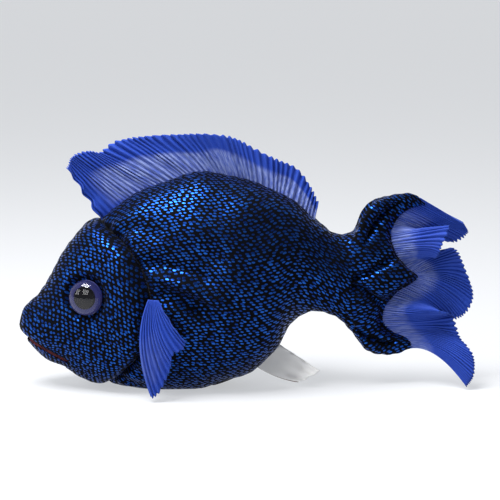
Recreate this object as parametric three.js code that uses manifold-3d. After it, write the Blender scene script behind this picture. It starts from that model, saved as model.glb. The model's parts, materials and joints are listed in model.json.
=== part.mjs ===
// A stuffed cloth fish that is worn on one finger: printed skin panels over fibre filling, pleated cloth
// fins, a lined mouth, plastic eyes held by washers, a care label and a finger sleeve in the belly.
// Millimetres, +Z up. The nose points to -X, the fish's left side to -Y, and it stands on its belly at z = 0.
import * as THREE from "three";
import { mergeVertices } from "three/addons/utils/BufferGeometryUtils.js";
import Module from "manifold-3d";

const wasm = await Module();
wasm.setup();

// ---- driving dimensions -------------------------------------------------------------------------
const bodyLength = 176; // nose to the tips of the stuffed tail
const bodyHeight = 96.5; // belly line to the top of the back, before the belly is pressed flat
const bodyWidth = 62; // across the flanks
const noseX = -98.5;
// A place on the body is given as its share of the length from the nose, then of the height.
const bellySink = 2; // how far the belly is pressed flat by standing on it
const skinThickness = 1;
const clearance = 0.3; // between two pieces that touch
const seamGap = 0.3; // between two panels sewn together
const fillingGap = 0.7; // between the skin and the filling

const gillRadius = 42.5; // the head panels end on this arc
const gillCentre = [0.082, 0.399];

const tailPivotAlong = 0.753; // the narrow waist, where the tail bends
const tailPivotRadius = 13.2;

const mouthFront = [0.017, 0.244];
const mouthAngle = THREE.MathUtils.degToRad(28);
const mouthLength = 20;
const liningThickness = 0.6;

const sleeveAlong = 0.491; // the finger sleeve stands upright in the belly
const sleeveBore = 18;
const sleeveWall = 0.8;
const sleeveTop = 53;

const eyeDiameter = 15;
const eyeSpot = [0.164, 0.461];
const eyeBackThickness = 1.2;
const eyeDomeHeight = 5;
const pupilDiameter = 7.6;
const pupilThickness = 0.6;
const stemDiameter = 4;
const stemLength = 9;
const washerDiameter = 12;
const washerThickness = 1.2;
const washerDrop = skinThickness + 1.1; // from the skin's face to the washer, clear of the skin's curve

const dorsalThickness = 1.6;
const dorsalLift = 0.5; // above the back seam, so that the fin can lean
const pectoralThickness = 1.4;
const tailFinThickness = 1.4;
const tailFinGap = 0.65; // from the tail's sewn edge, so that the fin can swing
const labelThickness = 1;

// ---- outlines, as shares of the body's length and height ------------------------------------------
const backLine = [
  [0, 0.3], [0.008, 0.385], [0.035, 0.435], [0.07, 0.52], [0.12, 0.655], [0.195, 0.79],
  [0.25, 0.87], [0.32, 0.935], [0.43, 1], [0.52, 0.985], [0.6, 0.945], [0.68, 0.865], [0.735, 0.775],
  [0.775, 0.715], [0.815, 0.72], [0.85, 0.8], [0.885, 0.878], [0.93, 0.9], [0.975, 0.895], [1, 0.85],
];
const bellyLine = [
  [0, 0.3], [0.004, 0.245], [0.025, 0.205], [0.06, 0.15], [0.105, 0.112], [0.135, 0.07],
  [0.19, 0.035], [0.26, 0.012], [0.34, 0], [0.43, 0], [0.5, 0.035], [0.57, 0.085], [0.625, 0.18],
  [0.67, 0.305], [0.72, 0.36], [0.775, 0.34], [0.815, 0.26], [0.86, 0.175], [0.92, 0.152], [0.985, 0.2],
];
const halfWidthLine = [
  [0, 0.05], [0.015, 0.22], [0.05, 0.4], [0.1, 0.56], [0.17, 0.72], [0.25, 0.87], [0.33, 0.95], [0.43, 1],
  [0.52, 0.985], [0.6, 0.88], [0.66, 0.7], [0.72, 0.5], [0.77, 0.41], [0.83, 0.34], [0.9, 0.26], [1, 0.08],
];
// The tail's trailing edge from its lower tip to its upper tip, in two scallops.
const trailingEdge = [
  [0.985, 0.2], [0.955, 0.238], [0.92, 0.268], [0.9, 0.315], [0.905, 0.375], [0.93, 0.445], [0.965, 0.485],
  [0.983, 0.518], [0.957, 0.56], [0.932, 0.62], [0.918, 0.7], [0.924, 0.765], [0.955, 0.822], [1, 0.85],
];

// ---- helpers ------------------------------------------------------------------------------------
const place = ([along, up]) =>
  new THREE.Vector3(noseX + along * bodyLength, 0, up * bodyHeight - bellySink);

const [gillCentreX, , gillCentreZ] = place(gillCentre).toArray();
const tailPivotX = place([tailPivotAlong, 0]).x;
const sleeveX = place([sleeveAlong, 0]).x;

const curveOf = (points) => new THREE.CatmullRomCurve3(points, false, "centripetal");

// A closed geometry from a list of vertices and a list of faces.
function geometryFrom(vertices, faces) {
  return new THREE.BufferGeometry()
    .setAttribute("position", new THREE.Float32BufferAttribute(vertices.flatMap((v) => v.toArray()), 3))
    .setIndex(faces.flat());
}

function solidOf(geometry) {
  const bare = geometry.clone();
  bare.deleteAttribute("normal");
  bare.deleteAttribute("uv");
  const merged = mergeVertices(bare, 1e-4);
  return new wasm.Manifold(
    new wasm.Mesh({
      numProp: 3,
      vertProperties: merged.attributes.position.array,
      triVerts: new Uint32Array(merged.index.array),
    }),
  );
}

function geometryOf(solid) {
  const { numProp, numVert, vertProperties, triVerts } = solid.getMesh();
  const vertices = Array.from({ length: numVert }, (_, i) =>
    new THREE.Vector3().fromArray(vertProperties, i * numProp));
  return geometryFrom(vertices, [Array.from(triVerts)]);
}

// A box between two corners.
function boxSolid(low, high) {
  const size = new THREE.Vector3().subVectors(high, low);
  const middle = new THREE.Vector3().addVectors(low, high).multiplyScalar(0.5);
  return solidOf(new THREE.BoxGeometry(size.x, size.y, size.z).translate(middle.x, middle.y, middle.z));
}

const far = 3 * bodyLength;

// ---- the stuffed body ------------------------------------------------------------------------------
const stationCount = 36;
const aroundCount = 24;
const roundness = 0.88; // exponent of the section: 1 is an ellipse, less is fuller
const tailStart = 0.775;

const back = curveOf(backLine.map(place));
const belly = curveOf(bellyLine.map(place));
const edge = curveOf(trailingEdge.map(place));
const widths = curveOf(halfWidthLine.map(([along, share]) =>
  new THREE.Vector3(along, (share * bodyWidth) / 2, 0)));

// The point of a curve at a share of its way in x, for curves that never turn back.
function atX(curve, x) {
  let low = 0;
  let high = 1;
  for (let i = 0; i < 40; i++) {
    const middle = (low + high) / 2;
    if (curve.getPoint(middle).x < x) low = middle;
    else high = middle;
  }
  return curve.getPoint(low);
}

const lerp = THREE.MathUtils.lerp;
const inTail = (along) => THREE.MathUtils.smoothstep(along, tailStart, 1);

// Straight out of the trailing edge, in the fish's middle plane.
function outOfEdge(up) {
  const direction = edge.getTangent(up);
  return new THREE.Vector3(direction.z, 0, -direction.x);
}

// A point of the skin: along from nose to tail, up from the belly seam to the back seam, side -1 left, +1 right.
function skinPoint(along, up, across) {
  const top = atX(back, lerp(noseX, back.getPoint(1).x, along));
  const bottom = atX(belly, lerp(noseX, belly.getPoint(1).x, along));
  const point = new THREE.Vector3().lerpVectors(bottom, top, up);
  const straight = new THREE.Vector3().lerpVectors(edge.getPoint(0), edge.getPoint(1), up);
  point.add(edge.getPoint(up).sub(straight).multiplyScalar(inTail(along)));
  point.y = across * atX(widths, along).y;
  return point;
}

const power = (value, exponent) => Math.sign(value) * Math.abs(value) ** exponent;

// How far up the section a vertex lies, by its angle from the belly seam.
const upAt = (angle) => (1 - power(Math.cos(angle), roundness)) / 2;

// The section at a station as a ring of points, drawn in by `margin` at the flanks, back and belly.
function ring(along, margin) {
  const bottom = skinPoint(along, 0, 0).z;
  const top = skinPoint(along, 1, 0).z;
  const middle = (bottom + top) / 2;
  const lower = Math.max(1 - (2 * margin) / (top - bottom), 0.2);
  const thinner = Math.max(1 - margin / skinPoint(along, 0.5, 1).y, 0.2);
  return Array.from({ length: aroundCount }, (_, j) => {
    const angle = (2 * Math.PI * j) / aroundCount;
    const point = skinPoint(along, upAt(angle), -power(Math.sin(angle), roundness) * thinner);
    return point.setZ(middle + (point.z - middle) * lower);
  });
}

// A solid through rings of points, with flat ends.
function loft(rings) {
  const last = (rings.length - 1) * aroundCount;
  const faces = [];
  for (let start = 0; start < last; start += aroundCount)
    for (let j = 0; j < aroundCount; j++) {
      const a = start + j;
      const b = start + ((j + 1) % aroundCount);
      faces.push([a, b + aroundCount, b], [a, a + aroundCount, b + aroundCount]);
    }
  const opposite = (j) => (aroundCount - j) % aroundCount;
  for (let j = 0; j < aroundCount / 2; j++) {
    faces.push([last + j, last + opposite(j + 1), last + j + 1], [j, j + 1, opposite(j + 1)]);
    if (j > 0) faces.push([last + j, last + opposite(j), last + opposite(j + 1)], [j, opposite(j + 1), opposite(j)]);
  }
  return solidOf(geometryFrom(rings.flat(), faces));
}

// The stations lie closer together towards the nose.
const stations = Array.from({ length: stationCount }, (_, i) =>
  (1 - Math.cos((Math.PI * (i + 0.6)) / (2 * (stationCount - 0.4)))) ** 0.82);

const sideOutline = new wasm.CrossSection([[
  ...stations.map((along) => skinPoint(along, 0, 0)),
  ...Array.from({ length: aroundCount / 2 - 1 }, (_, j) => edge.getPoint(upAt((2 * Math.PI * (j + 1)) / aroundCount))),
  ...stations.toReversed().map((along) => skinPoint(along, 1, 0)),
].map(({ x, z }) => [x, z])]);

// The whole stuffed shape, drawn in by `margin` and pressed flat underneath.
function fishSolid(margin) {
  const ground = boxSolid(new THREE.Vector3(-far, -far, -far), new THREE.Vector3(far, far, margin));
  const solid = loft(stations.map((along) => ring(along, margin))).subtract(ground);
  if (margin === 0) return solid;
  const inner = sideOutline.offset(-margin, "Round", 2, 24);
  return solid.intersect(inner.extrude(2 * bodyWidth, 0, 0, [1, 1], true).rotate([90, 0, 0]));
}

const outside = fishSolid(0);
const shell = outside.subtract(fishSolid(skinThickness));
const filling = fishSolid(skinThickness + fillingGap);

// ---- where the pieces part --------------------------------------------------------------------------
const roundSegments = 40;

// The head's side of the gill seam, grown by `extra`.
const headRegion = (extra) =>
  solidOf(new THREE.CylinderGeometry(gillRadius + extra, gillRadius + extra, far, roundSegments)
    .translate(gillCentreX, 0, gillCentreZ))
    .add(boxSolid(new THREE.Vector3(-far, -far, -far), new THREE.Vector3(gillCentreX + extra, far, far)));

// The tail's side of the waist, which turns in a round seat in the body, grown by `extra`.
const tailRegion = (extra) =>
  solidOf(new THREE.CylinderGeometry(tailPivotRadius + extra, tailPivotRadius + extra, far, roundSegments)
    .rotateX(Math.PI / 2)
    .translate(tailPivotX, 0, 0))
    .add(boxSolid(new THREE.Vector3(tailPivotX - extra, -far, -far), new THREE.Vector3(far, far, far)));

// Pieces in the mouth are set out in a frame on the mouth's roof: x runs back from the lip, z up.
const mouthFrame = new THREE.Matrix4()
  .makeRotationY(mouthAngle)
  .setPosition(place(mouthFront));

// Everything under the mouth's roof, in front of the jaw's pivot, lowered by `drop` and kept `inFront` of the pivot.
const mouthRegion = (drop, inFront) =>
  solidOf(new THREE.BoxGeometry(far, far, far)
    .translate(mouthLength - inFront - far / 2, 0, -drop - far / 2)
    .applyMatrix4(mouthFrame));

const sideRegion = (side) =>
  side === "left"
    ? boxSolid(new THREE.Vector3(-far, -far, -far), new THREE.Vector3(far, -seamGap / 2, far))
    : boxSolid(new THREE.Vector3(-far, seamGap / 2, -far), new THREE.Vector3(far, far, far));

// ---- finger sleeve ------------------------------------------------------------------------------------
// A round-ended pocket of the given radius that stands in the belly up to `top`.
function pocketSolid(radius, top, bottom) {
  const profile = new THREE.Path();
  profile.moveTo(0, bottom);
  profile.lineTo(radius, bottom);
  profile.lineTo(radius, top - radius);
  profile.absarc(0, top - radius, radius, 0, Math.PI / 2);
  return solidOf(new THREE.LatheGeometry(profile.getPoints(5), 24).rotateX(Math.PI / 2).translate(sleeveX, 0, 0));
}

const sleeveRadius = sleeveBore / 2;
const belowGround = -10;
const sleeveHole = pocketSolid(sleeveRadius + sleeveWall + clearance, sleeveTop + clearance, belowGround);
const sleeve = pocketSolid(sleeveRadius + sleeveWall, sleeveTop, belowGround)
  .subtract(pocketSolid(sleeveRadius, sleeveTop - sleeveWall, belowGround * 2))
  .intersect(outside);

// ---- eyes ---------------------------------------------------------------------------------------------
// The point of the skin beside a spot of the outline, with the outward direction there.
function onSkin([along, share], side) {
  const sideways = side === "left" ? -1 : 1;
  const z = place([along, share]).z;
  const pointAt = (a, h) => {
    const bottom = skinPoint(a, 0, 0).z;
    const top = skinPoint(a, 1, 0).z;
    const height = (2 * (h - bottom)) / (top - bottom) - 1;
    const reach = (1 - Math.abs(height) ** (2 / roundness)) ** (roundness / 2);
    return skinPoint(a, (height + 1) / 2, sideways * reach);
  };
  const point = pointAt(along, z);
  const step = 0.01;
  const alongStep = pointAt(along + step, z).sub(pointAt(along - step, z));
  const upStep = pointAt(along, z + step * bodyHeight).sub(pointAt(along, z - step * bodyHeight));
  const outward = new THREE.Vector3().crossVectors(alongStep, upStep).normalize();
  if (outward.y * sideways < 0) outward.negate();
  return { point, outward };
}

// A frame on the skin whose z points straight out of it.
function eyeFrame(side) {
  const { point, outward } = onSkin(eyeSpot, side);
  const turn = new THREE.Quaternion().setFromUnitVectors(new THREE.Vector3(0, 0, 1), outward);
  return new THREE.Matrix4().compose(point, turn, new THREE.Vector3(1, 1, 1));
}

const lathe = (points, segments) =>
  new THREE.LatheGeometry(points.map(([r, z]) => new THREE.Vector2(r, z)), segments).rotateX(Math.PI / 2);

const rod = (radius, bottom, top) => lathe([[0, bottom], [radius, bottom], [radius, top], [0, top]], 20);

const eyeBottom = clearance;
const domeBottom = eyeBottom + eyeBackThickness + clearance;

const eyeBackShape = lathe([
  [0, -stemLength], [stemDiameter / 2, -stemLength], [stemDiameter / 2, eyeBottom],
  [eyeDiameter / 2, eyeBottom], [eyeDiameter / 2, domeBottom - clearance], [0, domeBottom - clearance],
], 28);

const pupilShape = rod(pupilDiameter / 2, domeBottom, domeBottom + pupilThickness);

function domeShape() {
  const radius = eyeDiameter / 2;
  const pocketRadius = pupilDiameter / 2 + clearance;
  const pocketTop = domeBottom + pupilThickness + clearance;
  const points = [[0, pocketTop], [pocketRadius, pocketTop], [pocketRadius, domeBottom], [radius, domeBottom]];
  const rings = 7;
  for (let i = 1; i <= rings; i++) {
    const angle = (Math.PI * i) / (2 * rings);
    points.push([radius * Math.cos(angle), domeBottom + eyeDomeHeight * Math.sin(angle)]);
  }
  points[points.length - 1][0] = 0;
  return lathe(points, 28);
}

function washerShape() {
  const inner = stemDiameter / 2 + clearance;
  const outer = washerDiameter / 2;
  const bottom = -washerDrop - washerThickness;
  const corners = [[inner, bottom], [outer, bottom], [outer, -washerDrop], [inner, -washerDrop], [inner, bottom]];
  return lathe(corners, 20);
}

const cutForEye = (side, radius, bottom, top) =>
  solidOf(rod(radius, bottom, top).applyMatrix4(eyeFrame(side)));

// ---- thin cloth pieces ----------------------------------------------------------------------------------
// A sheet between a sewn edge and a free edge, bowed through a middle line, given its thickness both ways.
function sheetShape(sewn, middle, free, thickness, alongCount, outCount) {
  const pointAt = (u, v) => {
    const [a, b, c] = [sewn, middle, free].map((curve) => curve.getPoint(u));
    const bowed = new THREE.Vector3().addScaledVector(a, (1 - v) ** 2);
    return bowed.addScaledVector(b, 2 * v * (1 - v)).addScaledVector(c, v * v);
  };
  const step = 1e-3;
  const faceAt = (u, v) => {
    const alongSheet = pointAt(Math.min(u + step, 1), v).sub(pointAt(Math.max(u - step, 0), v));
    const outSheet = pointAt(u, Math.min(v + step, 1)).sub(pointAt(u, Math.max(v - step, 0)));
    return new THREE.Vector3().crossVectors(alongSheet, outSheet).normalize();
  };
  const vertices = [];
  for (const side of [1, -1])
    for (let i = 0; i <= alongCount; i++)
      for (let j = 0; j <= outCount; j++) {
        const [u, v] = [i / alongCount, j / outCount];
        vertices.push(pointAt(u, v).addScaledVector(faceAt(u, v), (side * thickness) / 2));
      }
  const row = outCount + 1;
  const other = (alongCount + 1) * row;
  const faces = [];
  const quad = (a, b, c, d) => faces.push([a, b, c], [a, c, d]);
  for (let i = 0; i < alongCount; i++)
    for (let j = 0; j < outCount; j++) {
      const a = i * row + j;
      quad(a, a + row, a + row + 1, a + 1);
      quad(a + other, a + other + 1, a + other + row + 1, a + other + row);
    }
  for (let i = 0; i < alongCount; i++) {
    const low = i * row;
    const high = low + outCount;
    quad(low, low + other, low + row + other, low + row);
    quad(high, high + row, high + row + other, high + other);
  }
  for (let j = 0; j < outCount; j++) {
    const start = j;
    const end = alongCount * row + j;
    quad(start, start + 1, start + 1 + other, start + other);
    quad(end, end + other, end + 1 + other, end + 1);
  }
  return geometryFrom(vertices, faces);
}

const midway = (a, b, share) => new THREE.CatmullRomCurve3(
  Array.from({ length: 25 }, (_, i) => new THREE.Vector3().lerpVectors(a.getPoint(i / 24), b.getPoint(i / 24), share)));

// Dorsal fin: its sewn edge follows the back seam, its free edge stands forward of it.
const dorsalFront = 0.199;
const dorsalRear = 0.724;
function dorsalShape() {
  const steps = 16;
  const sewnPoints = [];
  for (let i = 0; i <= steps; i++) {
    const { x } = place([lerp(dorsalFront, dorsalRear, i / steps), 0]);
    sewnPoints.push(atX(back, x).add(new THREE.Vector3(0, 0, dorsalLift)));
  }
  const free = curveOf([
    [0.116, 1.01], [0.128, 1.062], [0.173, 1.098], [0.23, 1.135], [0.31, 1.161], [0.389, 1.171],
    [0.463, 1.171], [0.526, 1.15], [0.577, 1.098], [0.628, 1.052], [0.679, 1.01], [0.71, 0.938],
    [0.733, 0.855],
  ].map(place));
  const sewn = curveOf(sewnPoints);
  return sheetShape(sewn, midway(sewn, free, 0.5), free, dorsalThickness, 26, 3);
}

// Pectoral fin: gathered at its root on the gill seam, fanned out below it.
const pectoralRoot = [0.33, 0.472];
function pectoralShape(side) {
  const sideways = side === "left" ? -1 : 1;
  const { point } = onSkin(pectoralRoot, side);
  const out = Math.abs(point.y) + pectoralThickness / 2 + clearance;
  const rows = [
    [[2.5, 0.4, -0.5], [-1.5, 0, 0]],
    [[8.5, 4, -11], [-9.5, 3, -18]],
    [[13.5, 2, -20], [9, 4.5, -25], [6, 4, -33], [2, 4, -40], [-0.5, 4, -42]],
  ];
  const [sewn, middle, free] = rows.map((row) => curveOf(row.map(([x, y, z]) =>
    new THREE.Vector3(point.x + x, sideways * (out + y), point.z + z))));
  return sheetShape(sewn, middle, free, pectoralThickness, 10, 8);
}

// Tail fin: one long strip gathered onto the trailing edge, so that its free edge stands in folds.
function tailFinShape() {
  const sewn = new THREE.CurvePath();
  const corners = Array.from({ length: aroundCount / 2 + 1 }, (_, j) => {
    const up = upAt(Math.PI * (1 - (2 * j) / aroundCount));
    return edge.getPoint(up).addScaledVector(outOfEdge(up), tailFinThickness / 2 + tailFinGap);
  });
  for (let j = 1; j < corners.length; j++) sewn.add(new THREE.LineCurve3(corners[j - 1], corners[j]));
  const folded = ([along, y, up]) => place([along, up]).setY(y);
  const middle = curveOf([
    [1.048, 2, 0.808], [1.048, 3, 0.746], [1.014, 3, 0.705], [1.003, -7, 0.746], [1.003, -7, 0.674],
    [0.991, 0, 0.622], [1.037, 4, 0.591], [1.048, 3, 0.528], [1.037, 1, 0.456], [1.003, 0, 0.394],
    [0.969, -7, 0.373], [0.98, -5, 0.311], [1.003, 1, 0.311], [1.014, 0, 0.269], [1.026, -3, 0.218],
  ].map(folded));
  const free = curveOf([
    [1.094, 2, 0.762], [1.105, 4, 0.715], [1.071, 6, 0.668], [1.043, 2, 0.705], [1.054, -6, 0.756],
    [1.031, -8, 0.653], [1.026, -1, 0.611], [1.071, 4, 0.642], [1.102, 3, 0.539], [1.12, 2, 0.415],
    [1.094, 3, 0.332], [1.054, 2, 0.321], [1.031, -7, 0.373], [1.037, -5, 0.363], [1.065, 0, 0.342],
    [1.088, -1, 0.238], [1.118, -8, 0.166], [1.116, -11, 0.083], [1.099, -12, 0.037],
  ].map(folded));
  return sheetShape(sewn, middle, free, tailFinThickness, 60, 5);
}

// Care label: a folded ribbon caught in the belly seam behind the finger sleeve.
const labelFront = 0.58;
const labelRear = 0.634;
const labelY = -0.5;
function labelShape() {
  const caught = [labelFront, labelRear].map((along) =>
    atX(belly, place([along, 0]).x).add(new THREE.Vector3(0, labelY, -labelThickness)));
  const sewn = curveOf(caught);
  const middle = curveOf(caught.map((end) => new THREE.Vector3(9, -0.5, -5.8).add(end)));
  const free = curveOf([new THREE.Vector3(19, -7.5, -5), new THREE.Vector3(18.5, -8.5, -10)]
    .map((offset, i) => offset.add(caught[i])));
  return sheetShape(sewn, middle, free, labelThickness, 4, 8);
}

// ---- the assembly -----------------------------------------------------------------------------------------
const materials = {
  skin: new THREE.MeshStandardMaterial({ color: 0x0b1d52, roughness: 0.45, metalness: 0.35 }),
  finCloth: new THREE.MeshStandardMaterial({ color: 0x2340c0, roughness: 0.7, metalness: 0 }),
  filling: new THREE.MeshStandardMaterial({ color: 0xf1f0ea, roughness: 0.95, metalness: 0 }),
  lining: new THREE.MeshStandardMaterial({ color: 0x101014, roughness: 0.9, metalness: 0 }),
  mouthCloth: new THREE.MeshStandardMaterial({ color: 0x8e2233, roughness: 0.9, metalness: 0 }),
  clearPlastic: new THREE.MeshStandardMaterial({
    color: 0xeaf2ff, roughness: 0.05, metalness: 0, transparent: true, opacity: 0.3,
  }),
  irisPlastic: new THREE.MeshStandardMaterial({ color: 0x0a1a9a, roughness: 0.25, metalness: 0 }),
  blackPlastic: new THREE.MeshStandardMaterial({ color: 0x050507, roughness: 0.2, metalness: 0 }),
  washerPlastic: new THREE.MeshStandardMaterial({ color: 0xdddddd, roughness: 0.5, metalness: 0 }),
  label: new THREE.MeshStandardMaterial({ color: 0xe6e3df, roughness: 0.85, metalness: 0 }),
};

const fish = new THREE.Group();
function addPiece(name, geometry, material, parent = fish) {
  const mesh = new THREE.Mesh(geometry, materials[material]);
  mesh.name = name;
  parent.add(mesh);
}

const liningStack = 2 * liningThickness + 3 * clearance;
const bodyRegion = outside
  .subtract(headRegion(seamGap))
  .subtract(tailRegion(clearance));

for (const side of ["left", "right"]) {
  const half = shell.intersect(sideRegion(side));
  const stemHole = cutForEye(side, stemDiameter / 2 + clearance, -stemLength, stemLength);
  const head = half.intersect(headRegion(0)).subtract(mouthRegion(0, 0)).subtract(stemHole);
  addPiece(`head_panel_${side}`, geometryOf(head), "skin");
  addPiece(`body_panel_${side}`, geometryOf(half.intersect(bodyRegion).subtract(sleeveHole)), "skin");
  addPiece(`tail_panel_${side}`, geometryOf(half.intersect(tailRegion(0))), "skin");
}

const washerRoom = (side) =>
  cutForEye(side, washerDiameter / 2 + clearance, -stemLength - clearance, 0);
addPiece("body_stuffing", geometryOf(
  filling
    .subtract(tailRegion(clearance))
    .subtract(mouthRegion(0, -clearance))
    .subtract(sleeveHole)
    .subtract(washerRoom("left"))
    .subtract(washerRoom("right")),
), "filling");
addPiece("tail_stuffing", geometryOf(filling.intersect(tailRegion(0))), "filling");
addPiece("finger_sleeve", geometryOf(sleeve), "lining");

// The mouth: a roof lining, a floor lining and the lower lip, all trimmed to the body's own outline.
const mouthSlice = (top, thickness, inFront) =>
  outside.intersect(mouthRegion(top, inFront)).subtract(mouthRegion(top + thickness, -far / 4));
addPiece("mouth_roof_lining", geometryOf(mouthSlice(clearance, liningThickness, clearance)), "mouthCloth");
addPiece("mouth_floor_lining",
  geometryOf(mouthSlice(2 * clearance + liningThickness, liningThickness, 1)), "mouthCloth");
addPiece("lower_lip", geometryOf(outside.intersect(mouthRegion(liningStack, 1))), "skin");

for (const side of ["left", "right"]) {
  const eye = new THREE.Group();
  eyeFrame(side).decompose(eye.position, eye.quaternion, eye.scale);
  fish.add(eye);
  addPiece(`eye_back_${side}`, eyeBackShape, "irisPlastic", eye);
  addPiece(`eye_pupil_${side}`, pupilShape, "blackPlastic", eye);
  addPiece(`eye_dome_${side}`, domeShape(), "clearPlastic", eye);
  addPiece(`eye_washer_${side}`, washerShape(), "washerPlastic", eye);
  addPiece(`pectoral_fin_${side}`, geometryOf(solidOf(pectoralShape(side))), "finCloth");
}
addPiece("dorsal_fin", dorsalShape(), "finCloth");
addPiece("tail_fin", tailFinShape(), "finCloth");
addPiece("care_label", labelShape(), "label");

export default fish;
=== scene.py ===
import json
import math

import bmesh
import bpy
import numpy as np
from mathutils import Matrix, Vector

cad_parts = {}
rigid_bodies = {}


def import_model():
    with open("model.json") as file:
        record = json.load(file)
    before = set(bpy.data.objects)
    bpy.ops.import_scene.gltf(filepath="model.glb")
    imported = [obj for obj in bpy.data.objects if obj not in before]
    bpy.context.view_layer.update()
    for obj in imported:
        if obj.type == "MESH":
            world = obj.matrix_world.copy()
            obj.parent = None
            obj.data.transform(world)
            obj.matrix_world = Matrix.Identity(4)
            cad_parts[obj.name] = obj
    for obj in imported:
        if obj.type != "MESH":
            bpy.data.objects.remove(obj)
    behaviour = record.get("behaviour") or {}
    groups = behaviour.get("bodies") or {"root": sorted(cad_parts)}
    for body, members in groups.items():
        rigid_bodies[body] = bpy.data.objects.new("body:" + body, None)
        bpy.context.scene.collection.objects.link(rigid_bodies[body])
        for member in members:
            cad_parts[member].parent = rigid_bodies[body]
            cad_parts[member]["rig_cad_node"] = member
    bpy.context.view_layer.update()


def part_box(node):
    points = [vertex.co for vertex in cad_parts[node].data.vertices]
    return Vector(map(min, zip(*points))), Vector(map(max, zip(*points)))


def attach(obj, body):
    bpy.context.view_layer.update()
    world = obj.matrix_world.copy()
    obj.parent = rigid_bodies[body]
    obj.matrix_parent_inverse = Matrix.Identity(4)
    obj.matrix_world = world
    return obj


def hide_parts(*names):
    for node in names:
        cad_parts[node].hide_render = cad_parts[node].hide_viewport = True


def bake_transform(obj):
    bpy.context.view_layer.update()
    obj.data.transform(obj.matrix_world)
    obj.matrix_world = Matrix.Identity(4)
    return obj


# A stuffed cloth fish worn on one finger. Lengths in the dictionaries are millimetres, angles degrees.
# Places on the body are shares of its length from the nose and of its height from the belly.
mm = 0.001
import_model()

noseCorner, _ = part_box("head_panel_left")
_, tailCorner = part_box("tail_panel_left")
_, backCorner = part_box("body_panel_right")

sink = 2  # How far below the ground the belly line's lowest places lie.
fish = {
    "noseX": noseCorner.x / mm - 0.25,
    "length": (tailCorner.x - noseCorner.x) / mm + 0.35,
    "width": 2 * backCorner.y / mm,
    "height": backCorner.z / mm + sink,
    "roundness": 0.88,
    "tailStart": 0.775,
    "gillCentre": (0.082, 0.399),
    "gillRadius": 42.5,
    "back": [
        (0, 0.3), (0.008, 0.385), (0.035, 0.435), (0.07, 0.52), (0.12, 0.655), (0.195, 0.79),
        (0.25, 0.87), (0.32, 0.935), (0.43, 1), (0.52, 0.985), (0.6, 0.945), (0.68, 0.865), (0.735, 0.775),
        (0.775, 0.715), (0.815, 0.72), (0.85, 0.8), (0.885, 0.878), (0.93, 0.9), (0.975, 0.895), (1, 0.85),
    ],
    "belly": [
        (0, 0.3), (0.004, 0.245), (0.025, 0.195), (0.06, 0.138), (0.105, 0.106), (0.135, 0.068),
        (0.19, 0.035), (0.26, 0.012), (0.34, 0), (0.43, 0), (0.5, 0.035), (0.57, 0.085), (0.625, 0.18),
        (0.67, 0.305), (0.72, 0.36), (0.775, 0.34), (0.815, 0.26), (0.86, 0.175), (0.92, 0.152), (0.985, 0.2),
    ],
    "halfWidth": [
        (0, 0.05), (0.015, 0.22), (0.05, 0.4), (0.1, 0.56), (0.17, 0.72), (0.25, 0.87), (0.33, 0.95), (0.43, 1),
        (0.52, 0.985), (0.6, 0.88), (0.66, 0.7), (0.72, 0.5), (0.77, 0.41), (0.83, 0.34), (0.9, 0.26), (1, 0.08),
    ],
    "trailingEdge": [
        (0.985, 0.2), (0.955, 0.238), (0.92, 0.268), (0.9, 0.315), (0.905, 0.375), (0.93, 0.445), (0.965, 0.485),
        (0.983, 0.518), (0.957, 0.56), (0.932, 0.62), (0.918, 0.7), (0.924, 0.765), (0.955, 0.822), (1, 0.85),
    ],
}


def spots(shares):
    # Shares of the length and height, as (x, z) in millimetres.
    shares = np.asarray(shares, float)
    return np.stack([fish["noseX"] + shares[..., 0] * fish["length"], shares[..., 1] * fish["height"] - sink], -1)


def smoothLine(points, t):
    # The centripetal Catmull-Rom curve through the points, at t from 0 to 1.
    points = np.asarray(points, float)
    padded = np.vstack([2 * points[0] - points[1], points, 2 * points[-1] - points[-2]])
    place = np.asarray(t, float) * (len(points) - 1)
    first = np.clip(np.floor(place).astype(int), 0, len(points) - 2)
    w = (place - first)[..., None]
    a, b, c, d = (padded[first + k] for k in range(4))
    ab, bc, cd = (np.maximum(np.linalg.norm(q - p, axis=-1, keepdims=True), 1e-9) ** 0.5
                  for p, q in ((a, b), (b, c), (c, d)))
    leave = ((b - a) / ab - (c - a) / (ab + bc) + (c - b) / bc) * bc
    arrive = ((c - b) / bc - (d - b) / (bc + cd) + (d - c) / cd) * bc
    return b + leave * w + (-3 * b + 3 * c - 2 * leave - arrive) * w**2 + (2 * b - 2 * c + leave + arrive) * w**3


fine = np.linspace(0, 1, 1500)
backTable = smoothLine(spots(fish["back"]), fine)
bellyTable = smoothLine(spots(fish["belly"]), fine)
edgeTable = smoothLine(spots(fish["trailingEdge"]), fine)
widthTable = smoothLine(fish["halfWidth"], fine) * (1, fish["width"] / 2)


def smoothStep(value, low, high):
    # 0 below low and 1 above high, and between them t^2 (3 - 2t), where t goes evenly from 0 to 1.
    t = np.clip((value - low) / (high - low), 0, 1)
    return t * t * (3 - 2 * t)


def power(value, exponent):
    # The value's size to the exponent, with the value's sign.
    return np.sign(value) * np.abs(value) ** exponent


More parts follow.
